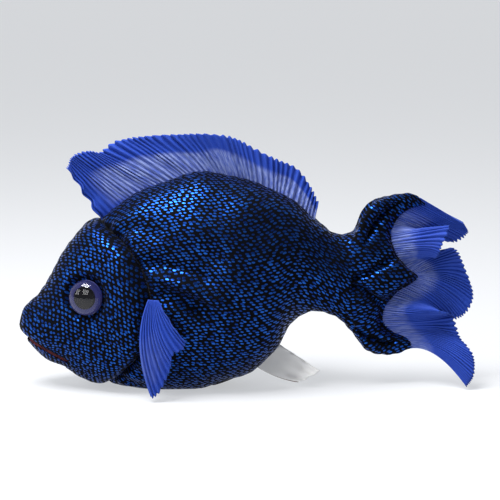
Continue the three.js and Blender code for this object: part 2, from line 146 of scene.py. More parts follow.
def fishSurface(along, angle):
    # A section at each share of the length: a rounded oval between belly line and back line. The angle runs
    # from 0 at the belly seam over the fish's left flank to pi at the back seam, and on down the right flank. A
    # point is at (1 - cos^roundness) / 2 of the way up and sin^roundness of the half width across. Towards the
    # tail's end each section bends to the shape of the trailing edge.
    up = (1 - power(np.cos(angle), fish["roundness"])) / 2
    across = -power(np.sin(angle), fish["roundness"])
    topX = fish["noseX"] + along * (backTable[-1, 0] - fish["noseX"])
    bottomX = fish["noseX"] + along * (bellyTable[-1, 0] - fish["noseX"])
    topZ = np.interp(topX, backTable[:, 0], backTable[:, 1])
    bottomZ = np.interp(bottomX, bellyTable[:, 0], bellyTable[:, 1])
    bend = smoothStep(along, fish["tailStart"], 1)
    straight = edgeTable[0] + (edgeTable[-1] - edgeTable[0]) * up[..., None]
    edgeX, edgeZ = (np.interp(up, fine, edgeTable[:, k]) - straight[..., k] for k in (0, 1))
    x = bottomX + (topX - bottomX) * up + edgeX * bend
    z = bottomZ + (topZ - bottomZ) * up + edgeZ * bend
    y = across * np.interp(along, widthTable[:, 0], widthTable[:, 1])
    return np.stack([x, y, z], -1)


def normalsOf(grid):
    # Unit normals of a grid of points, from the cross product of its two directions.
    down, over = np.gradient(grid, axis=0), np.gradient(grid, axis=1)
    normal = np.cross(down, over)
    return normal / np.maximum(np.linalg.norm(normal, axis=-1, keepdims=True), 1e-9)


def runLength(grid, axis):
    # The distance travelled along one direction of a grid.
    step = np.linalg.norm(np.diff(grid, axis=axis), axis=-1)
    zero = np.zeros_like(np.take(step, [0], axis=axis))
    return np.concatenate([zero, np.cumsum(step, axis=axis)], axis=axis)


def lineDistance(x, z, line):
    # The distance in the side view to a broken line, and the share of the way along it.
    line = np.asarray(line, float)
    best = np.full(x.shape, 1e9)
    share = np.zeros(x.shape)
    for k in range(len(line) - 1):
        start, run = line[k], line[k + 1] - line[k]
        t = np.clip(((x - start[0]) * run[0] + (z - start[1]) * run[1]) / (run @ run), 0, 1)
        gap = np.hypot(x - start[0] - t * run[0], z - start[1] - t * run[1])
        share = np.where(gap < best, (k + t) / (len(line) - 1), share)
        best = np.minimum(best, gap)
    return best, share


def addMesh(name, points, faces, material, uv=None):
    # A smooth mesh from points in millimetres and faces; uv has one place on the cloth for each point.
    mesh = bpy.data.meshes.new(name)
    mesh.from_pydata((np.asarray(points) * mm).tolist(), [], faces.tolist())
    if uv is not None:
        layer = mesh.uv_layers.new(name="cloth")
        loops = np.empty(len(mesh.loops), int)
        mesh.loops.foreach_get("vertex_index", loops)
        layer.data.foreach_set("uv", np.asarray(uv)[loops].astype(np.float32).ravel())
    mesh.polygons.foreach_set("use_smooth", [True] * len(mesh.polygons))
    mesh.materials.append(material)
    mesh.update()
    piece = bpy.data.objects.new(name, mesh)
    bpy.context.collection.objects.link(piece)
    return piece


def gridFaces(rows, columns, flip=False, around=False):
    # Four-sided faces between the rows and columns of a grid; around joins the last column to the first.
    i, j = np.meshgrid(np.arange(rows - 1), np.arange(columns if around else columns - 1), indexing="ij")
    k = (j + 1) % columns
    faces = np.stack([i * columns + j, i * columns + k, (i + 1) * columns + k, (i + 1) * columns + j], -1)
    faces = faces.reshape(-1, 4)
    return faces[:, ::-1] if flip else faces


def addGrid(name, grid, material, uv=None, flip=False, around=False):
    # The mesh of a grid of points, row after row.
    rows, columns = grid.shape[:2]
    return addMesh(name, grid.reshape(-1, 3), gridFaces(rows, columns, flip, around), material,
                   None if uv is None else uv.reshape(-1, 2))


def closePoles(piece):
    # Points that lie together, at a pole or along a seam, become one.
    cloth = bmesh.new()
    cloth.from_mesh(piece.data)
    bmesh.ops.remove_doubles(cloth, verts=cloth.verts, dist=0.001 * mm)
    cloth.to_mesh(piece.data)
    cloth.free()
    return piece


def thicken(piece, thickness, offset=-1.0):
    # Gives cloth its thickness: inside its surface at offset -1, and half on each side at 0.
    solid = piece.modifiers.new("thickness", "SOLIDIFY")
    solid.thickness = thickness * mm
    solid.offset = offset
    return piece


def newMaterial(name, color=(0.5, 0.5, 0.5), roughness=0.5, **sockets):
    # A material, its node tree and its shader, with the shader's further values as sockets.
    material = bpy.data.materials.new(name)
    material.use_nodes = True
    shader = material.node_tree.nodes["Principled BSDF"]
    shader.inputs["Base Color"].default_value = (*color, 1)
    shader.inputs["Roughness"].default_value = roughness
    for socket, value in sockets.items():
        shader.inputs[socket].default_value = value
    return material, material.node_tree, shader


def addNode(tree, kind, links=(), **settings):
    # A node with its settings; links gives (input, source socket or value).
    node = tree.nodes.new(kind)
    for key, value in settings.items():
        setattr(node, key, value)
    for socket, source in links:
        if isinstance(source, bpy.types.NodeSocket):
            tree.links.new(source, node.inputs[socket])
        else:
            node.inputs[socket].default_value = source
    return node


def mathNode(tree, operation, a, b=0.0, c=0.0):
    # One step of arithmetic: the operation on a and b, and on c where it takes three values.
    return addNode(tree, "ShaderNodeMath", [(0, a), (1, b), (2, c)], operation=operation).outputs[0]


def ramp(tree, value, low, high, start=0.0, end=1.0):
    # A smooth step from start, where the value is low, to end, where it is high.
    return addNode(tree, "ShaderNodeMapRange", [(0, value), (1, low), (2, high), (3, start), (4, end)],
                   interpolation_type="SMOOTHSTEP").outputs[0]


def mixColor(tree, factor, a, b):
    # The color (1 - factor) a + factor b.
    node = addNode(tree, "ShaderNodeMix", data_type="RGBA")
    for socket, source in ((0, factor), (6, a), (7, b)):
        if isinstance(source, bpy.types.NodeSocket):
            tree.links.new(source, node.inputs[socket])
        else:
            node.inputs[socket].default_value = source if socket == 0 else (*source, 1)
    return node.outputs[2]


def clothMap(tree):
    # The piece's own places on the cloth.
    return addNode(tree, "ShaderNodeUVMap", uv_map="cloth").outputs[0]


def stretch(tree, place, scale):
    # The place with each direction times its own scale, so that a pattern on it is drawn out.
    return addNode(tree, "ShaderNodeMapping", [("Vector", place), ("Scale", scale)]).outputs[0]


def noise(tree, place, scale, detail=2.0):
    # Cloudy noise round 0.5, with about scale clouds to each unit of the place.
    links = [("Vector", place), ("Scale", scale), ("Detail", detail)]
    return addNode(tree, "ShaderNodeTexNoise", links).outputs[0]


def bump(tree, shader, height, distance, strength):
    # Relief on the shader: the height times a distance in millimetres.
    links = [("Height", height), ("Distance", distance * mm), ("Strength", strength)]
    tree.links.new(addNode(tree, "ShaderNodeBump", links).outputs[0], shader.inputs["Normal"])


foil = {
    "dotLength": 2.3, "dotPitch": 1.5, "dotReach": 0.26, "softness": 0.07, "scatter": 0.5,
    "sizeScatter": 0.09, "toneScatter": 0.75, "cloudScale": 1.1, "cloudSize": 0.12, "cloudTone": 0.3,
    "cloth": (0.0012, 0.0015, 0.003), "deep": (0.003, 0.018, 0.14), "bright": (0.014, 0.1, 0.46),
    "metal": 0.9, "clothRoughness": 0.72, "dotRoughness": 0.29, "weaveScale": 55.0, "relief": 0.12,
}


def foilCloth(name, turn=0.0):
    # Black cloth printed with rows of blue foil dots, each a little different in size and brightness. Each row
    # of cells is half a cell on from the last, and a dot is what lies nearer its cell's middle than its reach.
    material, tree, shader = newMaterial(name, **{"Sheen Weight": 0.02, "Sheen Roughness": 0.4,
                                                  "Specular IOR Level": 0.04})
    turned = addNode(tree, "ShaderNodeMapping", [("Vector", clothMap(tree)),
                                                 ("Rotation", (0, 0, math.radians(turn)))]).outputs[0]
    cloud = noise(tree, turned, foil["cloudScale"], 1.0)
    parts = addNode(tree, "ShaderNodeSeparateXYZ", [(0, turned)])
    u = mathNode(tree, "MULTIPLY", parts.outputs[0], 10 / foil["dotLength"])
    v = mathNode(tree, "MULTIPLY", parts.outputs[1], 10 / foil["dotPitch"])
    u = mathNode(tree, "MULTIPLY_ADD", v, 0.5, u)
    cells = addNode(tree, "ShaderNodeCombineXYZ", [(0, u), (1, v)]).outputs[0]
    dots = addNode(tree, "ShaderNodeTexVoronoi",
                   [("Vector", cells), ("Scale", 1.0), ("Randomness", foil["scatter"])], voronoi_dimensions="2D")
    shade = addNode(tree, "ShaderNodeSeparateColor", [(0, dots.outputs["Color"])])
    reach = mathNode(tree, "MULTIPLY_ADD", shade.outputs[0], foil["sizeScatter"], foil["dotReach"] - 0.05)
    reach = mathNode(tree, "SUBTRACT", reach, foil["cloudSize"] / 2)
    reach = mathNode(tree, "MULTIPLY_ADD", cloud, foil["cloudSize"], reach)
    dot = ramp(tree, mathNode(tree, "SUBTRACT", dots.outputs["Distance"], reach), foil["softness"], 0.0)
    tone = mathNode(tree, "MULTIPLY", cloud, foil["cloudTone"])
    tone = mathNode(tree, "MULTIPLY_ADD", shade.outputs[1], foil["toneScatter"], tone)
    blue = mixColor(tree, tone, foil["deep"], foil["bright"])
    tree.links.new(mixColor(tree, dot, foil["cloth"], blue), shader.inputs["Base Color"])
    tree.links.new(mathNode(tree, "MULTIPLY", dot, foil["metal"]), shader.inputs["Metallic"])
    tree.links.new(ramp(tree, dot, 0.0, 1.0, foil["clothRoughness"], foil["dotRoughness"]),
                   shader.inputs["Roughness"])
    weave = noise(tree, turned, foil["weaveScale"])
    bump(tree, shader, mathNode(tree, "MULTIPLY_ADD", weave, 0.5, dot), foil["relief"], 0.7)
    return material


finTones = {
    "deep": (0.010, 0.034, 0.27), "bright": (0.024, 0.075, 0.46), "pale": (0.27, 0.33, 0.58),
    "streaks": (110, 5, 1), "threads": (18, 160, 1), "ragged": 0.34,
}


def finCloth(name, paleLow, paleHigh, paleness):
    # Pleated sheer cloth. It is deep blue where two layers lie together along the free edge, and paler and
    # streaked in the single layer between paleLow and paleHigh of the way out.
    sheen = {"Sheen Weight": 0.15, "Sheen Roughness": 0.35, "Sheen Tint": (0.4, 0.6, 1, 1)}
    material, tree, shader = newMaterial(name, roughness=0.62, **sheen, **{"Specular IOR Level": 0.2})
    uv = clothMap(tree)
    parts = addNode(tree, "ShaderNodeSeparateXYZ", [(0, uv)])
    ragged = noise(tree, uv, 2.2, 3.0)
    out = mathNode(tree, "SUBTRACT", parts.outputs[1], finTones["ragged"] / 2)
    out = mathNode(tree, "MULTIPLY_ADD", ragged, finTones["ragged"], out)
    single = mathNode(tree, "MULTIPLY", ramp(tree, out, paleLow - 0.1, paleLow + 0.06),
                      ramp(tree, out, paleHigh + 0.06, paleHigh - 0.1))
    single = mathNode(tree, "MULTIPLY", single, ramp(tree, parts.outputs[0], 0.09, 0.28))
    streaks = noise(tree, stretch(tree, uv, finTones["streaks"]), 1.0)
    pale = mathNode(tree, "MULTIPLY", single, ramp(tree, streaks, 0.38, 0.62, 0.3, 1.0))
    pale = mathNode(tree, "MULTIPLY", pale, paleness)
    deep = mixColor(tree, ragged, finTones["deep"], finTones["bright"])
    tree.links.new(mixColor(tree, pale, deep, finTones["pale"]), shader.inputs["Base Color"])
    bump(tree, shader, noise(tree, stretch(tree, uv, finTones["threads"]), 1.0), 0.12, 0.6)
    return material


def plainCloth(name, color, roughness=0.9, threads=14.0, depth=0.15, tint=0.25):
    # Woven cloth: two crossed sets of threads in relief, with a slight change of tone from place to place.
    sheen = {"Sheen Weight": 0.2, "Sheen Roughness": 0.5}
    material, tree, shader = newMaterial(name, roughness=roughness, **sheen)
    place = addNode(tree, "ShaderNodeTexCoord").outputs["Object"]
    links = [("Vector", place), ("Scale", threads * 60), ("Distortion", 1.5)]
    warp, weft = (addNode(tree, "ShaderNodeTexWave", links, bands_direction=way).outputs[1] for way in "XZ")
    darker = tuple(c * (1 - tint) for c in color)
    tree.links.new(mixColor(tree, noise(tree, place, 160.0, 3.0), darker, color), shader.inputs["Base Color"])
    bump(tree, shader, mathNode(tree, "ADD", warp, weft), depth, 0.5)
    return material


skinCloth = foilCloth("foilDotCloth")
headCloth = foilCloth("foilDotClothTurned", 35)
dorsalCloth = finCloth("pleatedDorsalCloth", 0.06, 0.62, 0.75)
tailCloth = finCloth("pleatedTailCloth", 0.02, 0.42, 0.5)
pectoralCloth = finCloth("pleatedPectoralCloth", 0.5, 0.9, 0.15)
liningCloth = plainCloth("blackLining", (0.012, 0.012, 0.015))
mouthCloth = plainCloth("redMouthCloth", (0.30, 0.025, 0.04), 0.85)
fillingFibre = plainCloth("whiteFibre", (0.85, 0.84, 0.8), 1.0, 4.0, 0.6)
print("materials ready")


eye = {
    "diameter": 15, "height": 5.0, "pupil": 8.4, "seat": 0.6, "dent": 1.3, "dentReach": 7,
    "irisDeep": (0.001, 0.002, 0.07), "irisBright": (0.003, 0.006, 0.15),
}


def nodeObject(name):
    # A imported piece, by its node's name.
    return next(o for o in bpy.data.objects if o.get("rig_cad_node") == name)


def meshPoints(piece):
    # A mesh's own points, in metres.
    flat = np.empty(3 * len(piece.data.vertices), np.float32)
    piece.data.vertices.foreach_get("co", flat)
    return flat.reshape(-1, 3)


def nodePoints(name):
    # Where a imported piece's points are, in millimetres.
    node = nodeObject(name)
    place = np.array(node.matrix_world)
    return (meshPoints(node) @ place[:3, :3].T + place[:3, 3]) / mm


def nodeMiddle(name):
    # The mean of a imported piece's points.
    return nodePoints(name).mean(axis=0)


def eyeFrame(side):
    # The middle of the eye's front face, and the direction it looks in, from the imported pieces.
    back, axis = nodeMiddle("eye_back_" + side), nodeMiddle("eye_dome_" + side) - nodeMiddle("eye_washer_" + side)
    axis /= np.linalg.norm(axis)
    return back + axis * eye["seat"], axis


stuffed = {
    "headRows": 180, "bodyRows": 284, "columns": 170, "wall": 0.6,
    "seamDepth": 1.5, "seamReach": 1.8, "seamPucker": 0.16, "puckerPitch": 5.7,
    "gillDepth": 4.6, "gillReach": 2.6, "cheekBulge": 1.9, "cheekReach": 8,
    "lumps": 0.35, "noseReach": 1.8, "tailPuff": 2.2, "endPinch": 0.94, "endRound": 4.0, "groundSoftness": 0.5,
}
# Folds of the skin: a line in shares of length and height, then depth (+ out, - in) and reach.
bodyFolds = [
    ([(0.315, 0.555), (0.35, 0.565), (0.406, 0.538), (0.46, 0.487), (0.511, 0.425)], 3.3, 2.3),
    ([(0.3, 0.61), (0.35, 0.61), (0.42, 0.59), (0.5, 0.53)], -2.8, 3.4),
    ([(0.27, 0.67), (0.33, 0.65), (0.41, 0.66), (0.52, 0.62)], -2.8, 7.5),
    ([(0.31, 0.49), (0.36, 0.485), (0.42, 0.455), (0.47, 0.41)], -3.0, 3.4),
    ([(0.22, 0.74), (0.27, 0.765), (0.36, 0.76)], -1.6, 3.6),
    ([(0.3, 0.2), (0.36, 0.23), (0.42, 0.22)], -0.8, 5.0),
    ([(0.47, 0.3), (0.55, 0.38), (0.63, 0.43)], -0.5, 6.0),
]
tailFolds = [
    ([(0.84, 0.66), (0.868, 0.742), (0.886, 0.794), (0.915, 0.84), (0.945, 0.862)], -5.0, 1.8),
    ([(0.81, 0.515), (0.85, 0.545), (0.93, 0.62)], -4.6, 1.9),
    ([(0.81, 0.5), (0.845, 0.475), (0.905, 0.385)], -4.6, 1.9),
    ([(0.785, 0.39), (0.82, 0.3), (0.86, 0.245), (0.9, 0.218), (0.935, 0.222)], -5.0, 1.8),
]
headFolds = [
    ([(0.05, 0.48), (0.1, 0.62), (0.16, 0.75), (0.19, 0.82)], 1.8, 9.0),
    ([(0.13, 0.5), (0.19, 0.52), (0.22, 0.46), (0.2, 0.4)], 0.5, 3.0),
    ([(0.2, 0.3), (0.24, 0.2), (0.25, 0.1)], -0.8, 4.0),
    ([(0.05, 0.2), (0.1, 0.2), (0.16, 0.16)], -0.6, 4.0),
]
gillX, gillZ = spots(fish["gillCentre"])


def gillAlong(angle):
    # Where along the body the gill seam's arc crosses each angle of the section: the last place within the
    # arc's radius of its centre, or in front of it.
    along = np.linspace(0.05, 0.5, 900)[:, None] + 0 * angle
    x, _, z = np.moveaxis(fishSurface(along, angle + 0 * along), -1, 0)
    inHead = (np.hypot(x - gillX, z - gillZ) < fish["gillRadius"]) | (x < gillX)
    last = inHead.shape[0] - 1 - np.argmax(inHead[::-1], axis=0)
    found = along[last, np.arange(angle.size)]
    return np.convolve(np.pad(found, 3, "edge"), np.ones(7) / 7, "valid")


def foldHeight(x, z, folds, sharp=False):
    # The sum over the folds of depth exp(-(gap / reach)^2), or of depth exp(-gap / reach) where the cloth is
    # stitched down to a sharp crease.
    height = np.zeros(x.shape)
    for line, depth, reach in folds:
        gap, share = lineDistance(x, z, spots(line))
        dip = depth * np.exp(-gap / reach if sharp else -((gap / reach) ** 2))
        height += dip * smoothStep(share, -0.05, 0.3) * smoothStep(1.1 - share, 0, 0.3)
    return height


mouth = {"front": (0.017, 0.244), "angle": 28, "length": 20, "roll": 1.6}
mouthTurn = math.radians(mouth["angle"])
mouthAlong = np.array([math.cos(mouthTurn), 0, -math.sin(mouthTurn)])
mouthUp = np.array([math.sin(mouthTurn), 0, math.cos(mouthTurn)])
mouthOrigin = np.insert(spots(mouth["front"]), 1, 0)


def closeMouth(grid):
    # What lies under the mouth's roof is folded up to it, with a rounded lip: in front of the mouth's corner,
    # the height above the roof becomes (up + sqrt(up^2 + roll^2)) / 2.
    local = grid - mouthOrigin
    back, up = local @ mouthAlong, local @ mouthUp
    roll = mouth["roll"]
    folded = 0.5 * (up + np.sqrt(up**2 + roll**2))
    inside = 1 - smoothStep(back, mouth["length"] - 1.0, mouth["length"] + 0.1)
    return grid + ((folded - up) * inside)[..., None] * mouthUp


sleeveLow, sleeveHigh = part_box("finger_sleeve")
sleeve = {
    "x": (sleeveLow.x + sleeveHigh.x) / 2 / mm, "radius": (sleeveHigh.x - sleeveLow.x) / 2 / mm,
    "top": sleeveHigh.z / mm, "wall": 0.8, "bulge": 0.25, "rows": 60, "turnedIn": 0.45,
    "hemGap": 0.3, "hemRoll": 0.6, "stitches": 26, "thread": 0.16,
}


def openSleeve(grid):
    # The skin near the sleeve's mouth turns up into it. Its distance from the axis stops at the hem, as
    # hem + (sqrt(past^2 + roll) + past) / 2 where past is its distance less the hem's, and it rises as far as
    # it was moved out.
    hem = sleeve["radius"] + sleeve["hemGap"]
    offset = grid[..., :2] - (sleeve["x"], 0)
    radius = np.linalg.norm(offset, axis=-1)
    near = (grid[..., 2] < 12) & (radius < hem + 2.5)
    kept = hem + 0.5 * (np.sqrt((radius - hem) ** 2 + sleeve["hemRoll"]) + radius - hem)
    kept = np.where(near, kept, radius)
    rise = np.where(near, np.maximum(kept - radius, 0), 0)
    moved = grid.copy()
    moved[..., :2] = (sleeve["x"], 0) + offset * (kept / np.maximum(radius, 1e-6))[..., None]
    moved[..., 2] += rise
    return moved, near & (radius < sleeve["radius"] * sleeve["turnedIn"])


def dentEye(grid, side):
    # The eye presses a shallow seat into the cheek. Its limit lies under the eye's back, and rises outside the
    # eye by a smooth step; out becomes (out + limit - sqrt((out - limit)^2 + 0.3)) / 2, the softened lesser.
    middle, axis = eyeFrame(side)
    radius = eye["diameter"] / 2
    offset = grid - middle
    out = offset @ axis
    gap = np.linalg.norm(offset - out[..., None] * axis, axis=-1)
    limit = -eye["dent"] + 6 * smoothStep(gap, radius + 0.1, radius + eye["dentReach"])
    near = (np.abs(out) < 12) & (gap < radius + eye["dentReach"])
    lowered = 0.5 * (out + limit - np.sqrt((out - limit) ** 2 + 0.3))
    return grid + (np.where(near, lowered - out, 0))[..., None] * axis


def layGround(grid):
    # The belly presses flat on the ground: z becomes (z + sqrt(z^2 + softness^2)) / 2.
    z = grid[..., 2]
    soft = stuffed["groundSoftness"]
    grid = grid.copy()
    grid[..., 2] = 0.5 * (z + np.sqrt(z**2 + soft**2))
    return grid


def skinGrid(along, angle):
    # A stretch of stuffed skin, and its height along the normals of the fish surface: in at the seams by
    # depth exp(-gap / reach), with puckers sin(2 pi s / pitch) exp(-(gap / 7)^2) and slow crossed waves.
    grid = fishSurface(along, angle)
    normal = normalsOf(grid)
    around = runLength(grid, 1)
    seam = np.minimum(around, around[:, -1:] - around)
    travelled = runLength(grid, 0)
    x, z = grid[..., 0], grid[..., 2]
    depth = stuffed["seamDepth"] * (1 - 0.7 * smoothStep(along, 0.72, 0.85))
    height = -depth * np.exp(-seam / stuffed["seamReach"])
    pucker = stuffed["seamPucker"] * np.sin(2 * np.pi * travelled / stuffed["puckerPitch"])
    height += pucker * np.exp(-((seam / 7) ** 2))
    height += stuffed["lumps"] * (np.sin(x * 0.21 + z * 0.13) * np.sin(z * 0.19 - x * 0.07 + 1.3)
                                  + 0.6 * np.sin(x * 0.11 - z * 0.31 + 0.4))
    return grid, normal, height, seam, travelled, around


def seatUv(grid, around, middle):
    # Cloth coordinates in centimetres: along the fish, and around it from the middle of the flank.
    return np.stack([grid[..., 0] / 10, (around - around[:, middle:middle + 1]) / 10], -1)


def shapeHead(gill, angle):
    # The head, from nose to gill seam. It goes in at the seam by depth exp(-gap / reach), and in front of that
    # the cheek bulges by exp(-((gap - 7) / reach)^2). The nose is drawn forward.
    rows = (np.linspace(0, 1, stuffed["headRows"]) ** 1.35)[:, None]
    grid, normal, height, seam, travelled, around = skinGrid(rows * gill, angle + 0 * rows)
    fromGill = travelled[-1:] - travelled
    gillStrength = 0.2 + 0.8 * smoothStep(seam[-1:], 0, 14)
    height += -stuffed["gillDepth"] * gillStrength * np.exp(-fromGill / stuffed["gillReach"])
    height += stuffed["cheekBulge"] * gillStrength * np.exp(-(((fromGill - 7) / stuffed["cheekReach"]) ** 2))
    height += foldHeight(grid[..., 0], grid[..., 2], headFolds)
    height *= smoothStep(travelled, 0, 9)
    grid[..., 0] -= stuffed["noseReach"] * (1 - smoothStep(travelled, 0, 22))
    uv = seatUv(grid, around, angle.size // 2)
    return layGround(grid + normal * height[..., None]), uv, fromGill


def shapeBody(gill, angle):
    # The body and tail, from gill seam to trailing edge. It goes in at the gill seam as the head does, the tail
    # puffs out between its folds, and the end rounds off as the square root of 1 - (1 - gap / endRound)^2.
    rows = np.linspace(0, 1, stuffed["bodyRows"])[:, None]
    along = gill + (1 - gill) * rows
    grid, normal, height, seam, travelled, around = skinGrid(along, angle + 0 * rows)
    x, z = grid[..., 0], grid[..., 2]
    toEnd = travelled[-1:] - travelled
    gillStrength = 0.2 + 0.8 * smoothStep(seam[:1], 0, 14)
    height += -stuffed["gillDepth"] * gillStrength * np.exp(-travelled / stuffed["gillReach"])
    height += 0.5 * gillStrength * np.sin(around[:1] * 2 * np.pi / 9) * np.exp(-((travelled - 4) / 7) ** 2)
    folds = foldHeight(x, z, bodyFolds) + foldHeight(x, z, tailFolds, sharp=True)
    puff = stuffed["tailPuff"] * smoothStep(along, 0.8, 0.9) * smoothStep(toEnd, 0.5, 6)
    puff = puff * smoothStep(seam, 1.5, 11)
    height += puff + np.maximum(folds, -0.72 * np.abs(grid[..., 1]) - puff)
    height *= smoothStep(toEnd, -2.0, 5)
    uv = seatUv(grid, around, angle.size // 2)
    pinch = np.sqrt(1 - np.clip(1 - toEnd / stuffed["endRound"], 0, stuffed["endPinch"]) ** 2)
    grid = grid + normal * height[..., None]
    grid[..., 1] *= pinch
    return layGround(grid), uv


def makeSkins():
    # Both sides' panels. The head's edge is drawn onto the body's, by the space between them times
    # exp(-distance from the seam / reach). The second side is the first with y turned over.
    angle = np.linspace(0, np.pi, stuffed["columns"])[None, :]
    gill = gillAlong(angle[0])[None, :]
    pieces = []
    for side, mirror in (("Left", 1), ("Right", -1)):
        head, headUv, fromGill = shapeHead(gill, angle)
        body, bodyUv = shapeBody(gill, angle)
        head = closeMouth(head + (body[:1] - head[-1:]) * np.exp(-fromGill / stuffed["gillReach"])[..., None])
        head[..., 1] *= mirror
        head = dentEye(head, side.lower())
        headSkin = addGrid("headSkin" + side, head, headCloth, headUv, flip=mirror > 0)
        body, hole = openSleeve(body)
        body[..., 1] *= mirror
        faces = gridFaces(*body.shape[:2], flip=mirror > 0)
        faces = faces[~hole.ravel()[faces].any(axis=1)]
        bodySkin = addMesh("bodySkin" + side, body.reshape(-1, 3), faces, skinCloth, bodyUv.reshape(-1, 2))
        pieces += [thicken(headSkin, stuffed["wall"]), thicken(bodySkin, stuffed["wall"])]
    return pieces


skins = makeSkins()
for piece in skins:
    if piece.name.startswith("head"):
        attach(piece, "body")
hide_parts("head_panel_left")
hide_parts("body_panel_left", "tail_panel_left")
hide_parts("head_panel_right")
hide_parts("body_panel_right", "tail_panel_right")
for piece in (skins[1], skins[3]):
    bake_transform(piece)
print("skin sewn:", len(skins), "panels")


filling = {
    "from": 0.14, "to": 0.87, "inset": 5.0, "thinnest": 0.3, "rows": 90, "columns": 72, "tufts": 0.35,
    "tailPress": 0.75, "lift": 2.5, "sleeveGap": 1.5, "openShare": 0.6,
}


def makeFilling():
    # A fibre core: each point keeps (reach - inset + tufts) / reach of its reach from the section's middle, and
    # the tufts are a product of sines. It is flat in the tail, and open round the finger sleeve.
    rows, columns = filling["rows"], filling["columns"]
    along = np.linspace(filling["from"], filling["to"], rows)[:, None] + np.zeros((1, columns))
    angle = np.linspace(0, 2 * np.pi, columns, endpoint=False)[None, :] + np.zeros((rows, 1))
    grid = fishSurface(along, angle)
    middle = (grid[:, :1] + grid[:, columns // 2:columns // 2 + 1]) / 2
    reach = np.linalg.norm(grid - middle, axis=-1, keepdims=True)
    tufts = filling["tufts"] * np.sin(grid[..., :1] * 1.7) * np.sin(grid[..., 2:] * 1.9 + grid[..., 1:2])
    ends = np.maximum(np.sin(np.pi * np.linspace(0, 1, rows)), 0)[:, None, None] ** 0.3
    kept = np.clip((reach - filling["inset"] + tufts) / np.maximum(reach, 1e-6), filling["thinnest"], 1) * ends
    grid = middle + (grid - middle) * kept
    grid[..., 1] *= 1 - filling["tailPress"] * smoothStep(along, 0.72, 0.82)
    grid[..., 2] = np.maximum(grid[..., 2], filling["lift"])
    faces = gridFaces(rows, columns, flip=True, around=True)
    fromAxis = np.hypot(grid[..., 0] - sleeve["x"], grid[..., 1]).ravel()
    low = grid[..., 2].ravel() < sleeve["top"] * filling["openShare"]
    inSleeve = (fromAxis < sleeve["radius"] + filling["sleeveGap"]) & low
    faces = faces[~inSleeve[faces].any(axis=1)]
    core = closePoles(addMesh("fibreFilling", grid.reshape(-1, 3), faces, fillingFibre))
    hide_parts("body_stuffing", "tail_stuffing")
    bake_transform(core)


makeFilling()


def lathe(name, profile, center, axis, material, segments=72):
    # A turned piece: each (radius, height) of the profile goes round as center + radius (cos t side + sin t
    # other) + height axis.
    profile = np.asarray(profile, float)
    axis = np.asarray(axis, float) / np.linalg.norm(axis)
    side = np.cross(axis, (0, 0, 1) if abs(axis[2]) < 0.9 else (1, 0, 0))
    side /= np.linalg.norm(side)
    other = np.cross(axis, side)
    turn = np.linspace(0, 2 * np.pi, segments, endpoint=False)[None, :, None]
    ring = np.cos(turn) * side + np.sin(turn) * other
    grid = np.asarray(center, float) + profile[:, None, :1] * ring + profile[:, None, 1:] * axis
    piece = closePoles(addMesh(name, grid.reshape(-1, 3), gridFaces(*grid.shape[:2], around=True), material))
    piece.data.set_sharp_from_angle(angle=math.radians(35))
    return piece


def bellyRise(x):
    # How far the belly seam is above the ground.
    return np.maximum(np.interp(x, bellyTable[:, 0], bellyTable[:, 1]), 0)


def makeSleeve():
    # The finger sleeve: a black tube of lining with a round end, and a ring of hem stitches at its mouth. Its
    # wall bulges by the product of two sines, and its mouth follows the belly.
    outer, top, rows = sleeve["radius"] + 0.1, sleeve["top"], sleeve["rows"]
    turn = np.linspace(0, np.pi / 2, 14)
    bulges = sleeve["bulge"] * np.sin(np.linspace(0, 22, rows)) * np.sin(np.linspace(0, np.pi, rows))
    wall = np.stack([outer + bulges, np.linspace(1.6, top - outer, rows)], 1)
    end = np.stack([outer * np.cos(turn), top - outer + outer * np.sin(turn)], 1)[1:]
    tube = lathe("fingerSleeve", np.vstack([wall, end]), (sleeve["x"], 0, 0), (0, 0, 1), liningCloth, 64)
    thicken(tube, sleeve["wall"])
    points = meshPoints(tube)
    points[:, 2] += bellyRise(points[:, 0] / mm) * (1 - smoothStep(points[:, 2] / mm, 0, 25)) * mm
    tube.data.vertices.foreach_set("co", points.ravel())
    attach(tube, "body")
    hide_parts("finger_sleeve")
    sewHem()


def sewHem():
    # Short stitches round the sleeve's mouth. Each is a six-sided thread along an arc of the hem's circle, at
    # radius hem - bow sin(pi t), and as thick as the square root of sin(pi t), so its ends are closed.
    count, thread, steps, sides = sleeve["stitches"], sleeve["thread"], 9, 6
    t = np.linspace(0, 1, steps)[None, :, None]
    turn = 2 * np.pi * (np.arange(count)[:, None, None] + 0.15 + 0.6 * t) / count
    section = 2 * np.pi * np.arange(sides) / sides
    thin = np.sqrt(np.maximum(np.sin(np.pi * t), 0))
    reach = sleeve["radius"] + 0.35 - 0.25 * np.sin(np.pi * t)
    rise = 2 + bellyRise(sleeve["x"] + reach * np.cos(turn)) + thread * thin * np.sin(section)
    reach = reach + thread * thin * np.cos(section)
    points = np.stack(np.broadcast_arrays(sleeve["x"] + reach * np.cos(turn), reach * np.sin(turn), rise), -1)
    faces = gridFaces(steps, sides, around=True) + steps * sides * np.arange(count)[:, None, None]
    hem = closePoles(addMesh("hemThread", points.reshape(-1, 3), faces.reshape(-1, 4), threadBlack))
    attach(hem, "body")


threadBlack, _, _ = newMaterial("blackThread", (0.02, 0.02, 0.03), 0.6)
makeSleeve()
print("filling and finger sleeve in place")


lip = {"rows": 90, "low": 90, "top": 40, "gap": 0.75, "behind": -0.2, "bow": 0.2, "front": 1.4}


